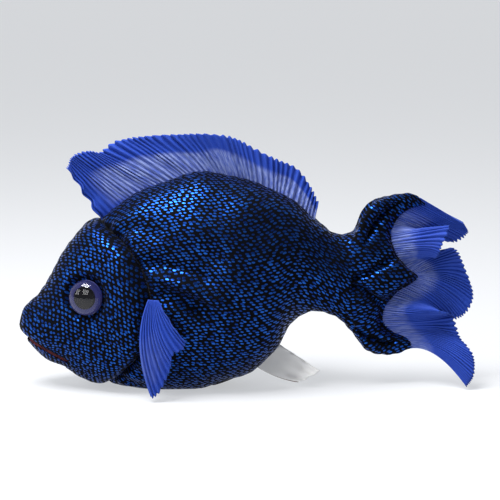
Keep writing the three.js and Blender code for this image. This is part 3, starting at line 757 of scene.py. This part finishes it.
def makeLip():
    # The lower lip. Each section keeps the fish's outline below the mouth's plane, found as the angle where
    # the outline crosses it, and closes with a slightly bowed top. The back end stops at the mouth's corner.
    rows = lip["rows"]
    fineAngle = np.linspace(0, np.pi, 1500)[None, :]

    def rise(along):
        # How high the outline lies over the mouth's plane, lowered by the gap.
        return (fishSurface(along + 0 * fineAngle, fineAngle + 0 * along) - mouthOrigin) @ mouthUp + lip["gap"]

    trial = np.linspace(0.003, 0.1, 300)[:, None]
    start = float(trial[np.argmax(rise(trial)[:, 0] < -lip["front"]), 0])
    along = (start + (0.27 - start) * np.linspace(0, 1, rows) ** 1.3)[:, None]
    above = rise(along) > 0
    crossing = fineAngle[0][np.argmax(above, axis=1)][:, None]
    lower = fishSurface(along + 0 * crossing * np.ones((1, lip["low"])),
                        crossing * np.linspace(-1, 1, lip["low"])[None, :])
    across = np.linspace(0, 1, lip["top"] + 2)[None, 1:-1, None]
    upper = lower[:, -1:] + (lower[:, :1] - lower[:, -1:]) * across
    upper = upper + lip["bow"] * np.sin(np.pi * across) * mouthUp
    ring = layGround(np.concatenate([lower, upper], 1))
    first, last = ring[:1].mean(axis=1, keepdims=True), ring[-1:].mean(axis=1, keepdims=True)
    grid = np.concatenate([first + 0 * ring[:1], ring, last + 0 * ring[-1:]], 0)
    end = mouth["length"] - lip["behind"]
    back = (grid - mouthOrigin) @ mouthAlong
    grid = grid + (np.minimum(end, back) - back)[..., None] * mouthAlong
    around = runLength(grid, 1)
    uv = np.stack([grid[..., 0] / 10, (around - around[:, lip["low"] // 2:lip["low"] // 2 + 1]) / 10], -1)
    piece = closePoles(addGrid("lowerLip", grid, headCloth, uv, flip=True, around=True))
    soft = piece.modifiers.new("rounded", "SMOOTH")
    soft.factor, soft.iterations = 0.5, 4
    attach(piece, "jaw")
    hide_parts("lower_lip")
    return np.stack([(lower[:, -1] - mouthOrigin) @ mouthAlong, np.abs(lower[:, -1, 1])], 1)


lipEdge = makeLip()


def makeEye(side, clear, iris, pupil):
    # A dome of clear plastic over a painted disc, with a black pupil. The dome's profile is radius cos t out and
    # height sin(t)^0.95 up.
    center, axis = eyeFrame(side)
    radius, height = eye["diameter"] / 2, eye["height"]
    turn = np.linspace(0, np.pi / 2, 40)
    dome = np.stack([radius * np.cos(turn), height * np.sin(turn) ** 0.95 + 0.25], 1)
    body = np.vstack([[(0, -0.6), (radius - 0.4, -0.6), (radius - 0.4, 0.2)], dome])
    disc = [(0, -1.1), (radius - 0.2, -1.1), (radius + 0.1, -0.9), (radius + 0.1, -0.1), (radius - 0.3, 0.1),
            (0, 0.1)]
    half = eye["pupil"] / 2
    spot = [(0, 0), (half, 0), (half, 0.4), (half - 0.15, 0.5), (0, 0.5)]
    name = side.title()
    pieces = [
        (lathe("eyeDome" + name, body, center, axis, clear), "eye_dome_" + side, "clear_plastic"),
        (lathe("eyeIris" + name, disc, center, axis, iris), "eye_back_" + side, "iris_plastic"),
        (lathe("eyePupil" + name, spot, center, axis, pupil), "eye_pupil_" + side, "black_plastic"),
    ]
    for piece, node, slot in pieces:
        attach(piece, "body")
        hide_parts(node)


def makeEyes():
    # The eyes' plastics: clear, a blue that changes slightly from place to place, and black.
    clear, _, _ = newMaterial("clearPlastic", (0.96, 0.97, 1.0), 0.05, **{"Transmission Weight": 1.0, "IOR": 1.45})
    iris, tree, shader = newMaterial("blueEyePlastic", roughness=0.5)
    cloud = noise(tree, addNode(tree, "ShaderNodeTexCoord").outputs["Object"], 260.0)
    tree.links.new(mixColor(tree, cloud, eye["irisDeep"], eye["irisBright"]), shader.inputs["Base Color"])
    pupil, _, _ = newMaterial("blackEyePlastic", (0.004, 0.004, 0.006), 0.7, **{"Specular IOR Level": 0.1})
    for side in ("left", "right"):
        makeEye(side, clear, iris, pupil)


makeEyes()
print("eyes and lip made")


def bezierSheet(lines, u, v, lean=0.0):
    # A sheet from its sewn line, middle line and free line: (1-v)^2 sewn + 2v(1-v) middle + v^2 free. The
    # lines' places shift by the lean, so the pleats tip towards the start of the lines.
    shift = lean * np.sin(np.pi * u)
    sewn, middle, free = lines
    a = smoothLine(sewn, u)
    b = smoothLine(middle, np.clip(u - shift / 2, 0, 1))
    c = smoothLine(free, np.clip(u - shift, 0, 1))
    v = v[None, :, None]
    return (1 - v) ** 2 * a[:, None] + 2 * v * (1 - v) * b[:, None] + v**2 * c[:, None]


def pleat(grid, u, v, count, depth, unevenness, edgeTooth, seamShare):
    # Knife pleats: the sheet goes out and back along its normal by asin(0.9 sin(2 pi count u)), uneven from
    # pleat to pleat, and the free edge steps in and out with them.
    normal = normalsOf(grid)
    w = u + unevenness / count * np.sin(2 * np.pi * count * 0.137 * u + 0.7) * 0.8
    wave = np.arcsin(0.9 * np.sin(2 * np.pi * count * w)) / math.asin(0.9)
    uneven = 1 + unevenness * np.sin(2 * np.pi * count * 0.31 * u + 1.1) * np.cos(2 * np.pi * count * 0.073 * u)
    grow = seamShare + (1 - seamShare) * np.sqrt(v)
    drift = 1 + 0.25 * np.sin(9 * v[None, :] + 40 * u[:, None])
    out = depth * (wave * uneven)[:, None] * grow[None, :] * drift
    run = grid[:, -1] - grid[:, -2]
    run /= np.maximum(np.linalg.norm(run, axis=-1, keepdims=True), 1e-9)
    tooth = edgeTooth * (wave * uneven)[:, None, None] * (v**6)[None, :, None] * run[:, None]
    return grid + normal * out[..., None] + tooth


def makeFin(name, node, lines, settings, material):
    # A pleated fin between its sewn, middle and free lines. A frill curls its front by exp(-(u / 0.03)^2) times
    # the square root of sin(pi v).
    u = np.linspace(0, 1, settings["pleats"] * settings["samples"] + 1)
    v = np.linspace(0, 1, settings["rows"])
    grid = bezierSheet(lines, u, v, settings["lean"])
    fromFront = np.exp(-((u / 0.03) ** 2))[:, None] * np.sin(np.pi * v)[None, :] ** 0.5
    grid[..., 0] += settings["frill"] * fromFront * np.sin(21 * v)
    grid[..., 1] += settings["frill"] * fromFront * np.cos(16 * v)
    grid = pleat(grid, u, v, settings["pleats"], settings["depth"], settings["unevenness"], settings["tooth"],
                 settings["seamShare"])
    uv = np.stack(np.broadcast_arrays(u[:, None] * settings["flat"][0] * 10, v[None, :]), -1)
    fin = thicken(addGrid(name, grid, material, uv), settings["cloth"], 0)
    size = np.linalg.norm(np.cross(np.gradient(grid, axis=0), np.gradient(grid, axis=1)), axis=-1).sum()
    print(name, "cloth area", round(float(size) / 1e6, 6), "square metres")
    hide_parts(node)
    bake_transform(fin)


dorsalFin = {
    "pleats": 52, "samples": 10, "rows": 34, "depth": 0.72, "unevenness": 0.4, "tooth": 0.55, "seamShare": 0.5,
    "lean": 0.11, "frill": 0.8, "notch": (-64, 3.0, 4.0), "cloth": 0.3, "flat": (0.205, 0.0192),
    "restsOn": ["bodySkinLeft", "bodySkinRight"], "tuck": 2.6, "from": -63.5, "to": 29,
    "free": [(-78, 95.5), (-76, 100.5), (-68, 104), (-58, 107.2), (-44, 109.5), (-30, 110.4), (-17, 110.6),
             (-6, 108.8), (3, 104), (12, 99.5), (21, 95.5), (26.5, 88.5), (30.5, 80.5)],
}


def makeDorsalFin():
    # The back fin stands on the back line. Its free edge waves across as 1.2 sin(0.09 x) and has one notch,
    # depth exp(-(gap / reach)^2).
    x = np.linspace(dorsalFin["from"], dorsalFin["to"], 40)
    z = np.interp(x, backTable[:, 0], backTable[:, 1]) - dorsalFin["tuck"]
    sewn = np.stack([x, 0 * x, z], 1)
    flat = np.array(dorsalFin["free"], float)
    free = np.stack([flat[:, 0], 1.2 * np.sin(flat[:, 0] * 0.09), flat[:, 1]], 1)
    free = smoothLine(free, np.linspace(0, 1, 90))
    place, depth, reach = dorsalFin["notch"]
    free[:, 2] -= depth * np.exp(-(((free[:, 0] - place) / reach) ** 2))
    u = np.linspace(0, 1, 40)
    middle = (sewn + smoothLine(free, u)) / 2 + np.stack([0 * u, 0.9 * np.sin(u * 17), 0 * u], 1)
    makeFin("dorsalFin", "dorsal_fin", (sewn, middle, free), dorsalFin, dorsalCloth)


pectoralFin = {
    "pleats": 13, "samples": 14, "rows": 60, "depth": 0.75, "unevenness": 0.25, "tooth": 0.5, "seamShare": 0.4,
    "lean": 0.0, "frill": 0.15, "cloth": 0.35, "flat": (0.036, 0.036), "root": (-40.5, -31.4, 43.5),
    "sewn": [(2.5, 0.4, -0.5), (-1.5, 0, 0)], "middle": [(8.5, -4, -11), (-9.5, -3, -18)],
    "free": [(13.5, -2, -17.5), (13, -3, -20.5), (8.8, -4.5, -22.5), (7.8, -4.2, -28), (5, -4, -35),
             (2, -4, -40), (-0.5, -4, -41.5)],
}


def makePectoralFins():
    # A fin behind each cheek, with its lines measured from its root. The second has y turned over.
    for side, mirror, body in (("Left", 1, "left_fin"), ("Right", -1, "right_fin")):
        root = np.array(pectoralFin["root"])
        lines = [(root + pectoralFin[key]) * (1, mirror, 1) for key in ("sewn", "middle", "free")]
        settings = {**pectoralFin, "restsOn": ["bodySkin" + side]}
        makeFin("pectoralFin" + side, "pectoral_fin_" + side.lower(), lines, settings, pectoralCloth)


tailFin = {
    "pleats": 104, "samples": 7, "rows": 38, "depth": 0.52, "unevenness": 0.35, "tooth": 0.45, "seamShare": 0.4,
    "lean": 0.0, "frill": 0.0, "cloth": 0.28, "flat": (0.21, 0.026),
    "restsOn": ["bodySkinLeft", "bodySkinRight"], "tuck": 3.2,
    "middle": [(86, 2, 76), (86, 3, 70), (80, 3, 66), (78, -7, 70), (78, -7, 63), (76, 0, 58), (84, 4, 55),
               (86, 3, 49), (84, 1, 42), (78, 0, 36), (72, -7, 34), (74, -5, 28), (78, 1, 28), (80, 0, 24),
               (82, -3, 19)],
    "free": [(94, 2, 71.5), (96, 4, 67), (90, 6, 62.5), (85, 2, 66), (87, -6, 71), (83, -8, 61), (82, -1, 57),
             (90, 4, 60), (95.5, 3, 50), (98.6, 2, 38), (94, 3, 30), (87, 2, 29), (83, -7, 34), (84, -5, 33),
             (89, 0, 31), (93, -1, 21), (98.2, -8, 14), (98, -11, 6), (95, -12, 1.6)],
}


def makeTailFin():
    # The tail fin is sewn along the trailing edge, which is moved in by the tuck, square to itself.
    edge = edgeTable[::-1][20:-20:30]
    inward = np.stack([np.gradient(edge[:, 1]), -np.gradient(edge[:, 0])], 1)
    inward /= np.linalg.norm(inward, axis=1, keepdims=True)
    edge = edge + inward * tailFin["tuck"]
    sewn = np.insert(edge, 1, 0, axis=1)
    makeFin("tailFin", "tail_fin", (sewn, np.array(tailFin["middle"], float), np.array(tailFin["free"], float)),
            tailFin, tailCloth)


makeDorsalFin()
makePectoralFins()
makeTailFin()
print("fins pleated")


label = {
    "from": 3.5, "to": 13, "aside": -0.5, "middle": (9, -0.5, -5.8), "free": [(19, -7.5, -5), (18.5, -8.5, -10)],
    "gap": 0.5, "cloth": 0.14, "thread": 0.3, "flat": (0.019, 0.03),
}


def makeLabel():
    # A blank folded ribbon, sewn into the belly seam, with a brown thread along its lower edge. It waves by
    # sin(14 u + 4 v) v^2, and its two layers meet at the fold as the square root of 1 - v^8.
    x = np.linspace(label["from"], label["to"], 9)
    z = np.interp(x, bellyTable[:, 0], bellyTable[:, 1])
    sewn = np.stack([x, 0 * x + label["aside"], z + 0.8], 1)
    ends = np.array([[x[0], 0, z[0]], [x[-1], 0, z[-1]]]) + label["free"]
    free = np.linspace(ends[0], ends[1], 9)
    middle = sewn + label["middle"]
    u, v = np.linspace(0, 1, 60), np.linspace(0, 1, 50)
    grid = bezierSheet((sewn, middle, free), u, v)
    normal = normalsOf(grid)
    wavy = 0.5 * np.sin(u[:, None] * 14 + v[None, :] * 4) * v[None, :] ** 2
    rim = 0.35 * np.sin(v[None, :] * 23) * (u[:, None] > 0.96)
    grid = grid + normal * (wavy + rim)[..., None]
    apart = label["gap"] * np.sqrt(np.maximum(1 - v**8, 0))[None, :, None] * (0.3 + 0.7 * v[None, :, None])
    looped = np.concatenate([grid + normal * apart, (grid - normal * apart)[:, ::-1][:, 1:]], 1)
    satin, tree, shader = newMaterial("whiteSatin", (0.86, 0.86, 0.85), 0.42, **{"Sheen Weight": 0.2})
    bump(tree, shader, noise(tree, stretch(tree, clothMap(tree), (220, 14, 1)), 1.0), 0.04, 0.5)
    places = np.stack(np.broadcast_arrays(u[:, None], np.linspace(0, 2, looped.shape[1])[None, :]), -1)
    ribbon = thicken(addGrid("careLabel", looped, satin, places), label["cloth"], 0)
    brown, _, _ = newMaterial("brownThread", (0.12, 0.06, 0.04), 0.8)
    line = grid[0]
    angle = np.linspace(0, 2 * np.pi, 6, endpoint=False)
    thick = label["thread"] * np.sqrt(np.clip(np.minimum(v, 1 - v) * 20, 0, 1))[:, None, None]
    tube = line[:, None] + thick * (np.cos(angle)[None, :, None] * normal[0][:, None]
                                    + np.sin(angle)[None, :, None] * (0.6, 0, -0.8))
    edge = closePoles(addMesh("labelThread", tube.reshape(-1, 3), gridFaces(*tube.shape[:2], around=True), brown))
    for piece in (ribbon, edge):
        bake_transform(piece)
    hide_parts("care_label")


makeLabel()
print("label sewn in")


mouthSheet = {
    "rows": 70, "columns": 90, "inset": 0.25, "drawnIn": 1.1, "cloth": 0.18, "ripple": 0.05,
    "roof": -0.08, "floor": -0.5, "floorBack": 0.35, "endGap": 0.3, "frontRound": 1.5,
}


def lineMouth():
    # The red linings of the mouth: one sheet under the roof and one on the lower lip, nearly as long as the
    # packed ones. Each goes y = s (w - inset) across for s from -1 to 1, where w is the lip's half width there,
    # and ripples by the product of two sines.
    for node, name, body in (("mouth_roof_lining", "mouthRoofCloth", "body"),
                             ("mouth_floor_lining", "mouthFloorCloth", "jaw")):
        inJaw = body == "jaw"
        front = lipEdge[0, 0] + (mouthSheet["floorBack"] if inJaw else 0.0)
        end = ((nodePoints(node) - mouthOrigin) @ mouthAlong).max() - mouthSheet["endGap"]
        back = np.linspace(front, end, mouthSheet["rows"])[:, None, None]
        across = np.sin(np.pi / 2 * np.linspace(-1, 1, mouthSheet["columns"]))[None, :, None]
        inset = mouthSheet["inset"] + mouthSheet["drawnIn"] * smoothStep(back, 3, 8)
        half = np.interp(back, lipEdge[:, 0], lipEdge[:, 1]) - inset
        half = half * np.sqrt(np.clip((back - front) / mouthSheet["frontRound"], 0, 1))
        level = mouthSheet["floor" if inJaw else "roof"] + lip["bow"] * inJaw * (np.cos(np.pi / 2 * across) - 0.5)
        ripple = mouthSheet["ripple"] * np.sin(1.9 * back + 0.6) * np.sin(1.3 * half * across + 0.4)
        grid = mouthOrigin + back * mouthAlong + half * across * (0, 1, 0) + (level + ripple) * mouthUp
        piece = closePoles(addGrid(name, grid, mouthCloth))
        thicken(piece, mouthSheet["cloth"], 0)
        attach(piece, body)
        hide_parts(node)


lineMouth()
# The washers behind the eyes stay as the frame has them, in dark plastic.
washerPlastic, _, _ = newMaterial("washerPlastic", (0.05, 0.05, 0.055), 0.5)
for node in ("eye_washer_left", "eye_washer_right"):
    nodeObject(node).data.materials.clear()
    nodeObject(node).data.materials.append(washerPlastic)

print("mouth lined")


studio = {
    "frontTone": (0.12, 0.123, 0.13), "backTone": (0.83, 0.85, 0.87), "floorTone": (0.3, 0.304, 0.314),
    "floorGlow": (0.95, 0.97, 1, 1), "glowStrength": 0.5, "floorRadius": 14000, "lampAim": (0, 0, 0.05),
    # Each lamp's name, place in metres, width in metres and energy in watts.
    "lamps": [
        ("overhead", (-0.22, -0.16, 0.68), 0.42, 10), ("front", (-0.5, -0.9, 0.6), 0.5, 2.9),
        ("window", (-0.8, -0.35, 0.35), 0.3, 1.0),
    ],
}
view = {"distance": 900, "focal": 148.5, "sensor": 36, "elevation": 9, "targetX": 0.9, "targetZ": 59.8}


def setStage():
    # The floor, the world's light, the lamps and the camera. The camera stands at target + distance
    # (0, -cos tilt, sin tilt) and looks at the target.
    makeGround()
    bpy.context.scene.view_settings.view_transform = "Standard"
    lightWorld()
    for name, place, size, energy in studio["lamps"]:
        data = bpy.data.lights.new(name, "AREA")
        data.shape, data.size, data.energy = "SQUARE", size, energy
        lamp = bpy.data.objects.new(name, data)
        lamp.location = place
        lamp.rotation_euler = (Vector(studio["lampAim"]) - Vector(place)).to_track_quat("-Z", "Y").to_euler()
        bpy.context.collection.objects.link(lamp)
    tilt = math.radians(view["elevation"])
    target = Vector((view["targetX"], 0, view["targetZ"])) * mm
    data = bpy.data.cameras.new("camera")
    data.lens = view["focal"]
    data.sensor_width = view["sensor"]
    camera = bpy.data.objects.new("camera", data)
    camera.location = target + Vector((0, -math.cos(tilt), math.sin(tilt))) * view["distance"] * mm
    camera.rotation_euler = (target - camera.location).to_track_quat("-Z", "Y").to_euler()
    bpy.context.collection.objects.link(camera)
    bpy.context.scene.camera = camera


def makeGround():
    # A pale round floor, just under the fish.
    glow = {"Emission Color": studio["floorGlow"], "Emission Strength": studio["glowStrength"]}
    paper, _, _ = newMaterial("paleFloor", studio["floorTone"], 0.7, **glow)
    return lathe("paleFloor", [(0, 0), (studio["floorRadius"], 0)], (0, 0, -0.05), (0, 0, -1), paper, 96)


def lightWorld():
    # A pale studio: the light comes mostly from behind the fish and above, and less from its front.
    world = bpy.data.worlds.new("studio")
    bpy.context.scene.world = world
    world.use_nodes = True
    tree = world.node_tree
    direction = addNode(tree, "ShaderNodeTexCoord").outputs["Generated"]
    parts = addNode(tree, "ShaderNodeSeparateXYZ", [(0, direction)])
    behind = ramp(tree, parts.outputs[1], -0.35, 0.8)
    tone = mixColor(tree, behind, studio["frontTone"], studio["backTone"])
    seen = addNode(tree, "ShaderNodeLightPath").outputs["Is Camera Ray"]
    tone = mixColor(tree, seen, tone, studio["backTone"])
    tree.links.new(tone, tree.nodes["Background"].inputs[0])


setStage()
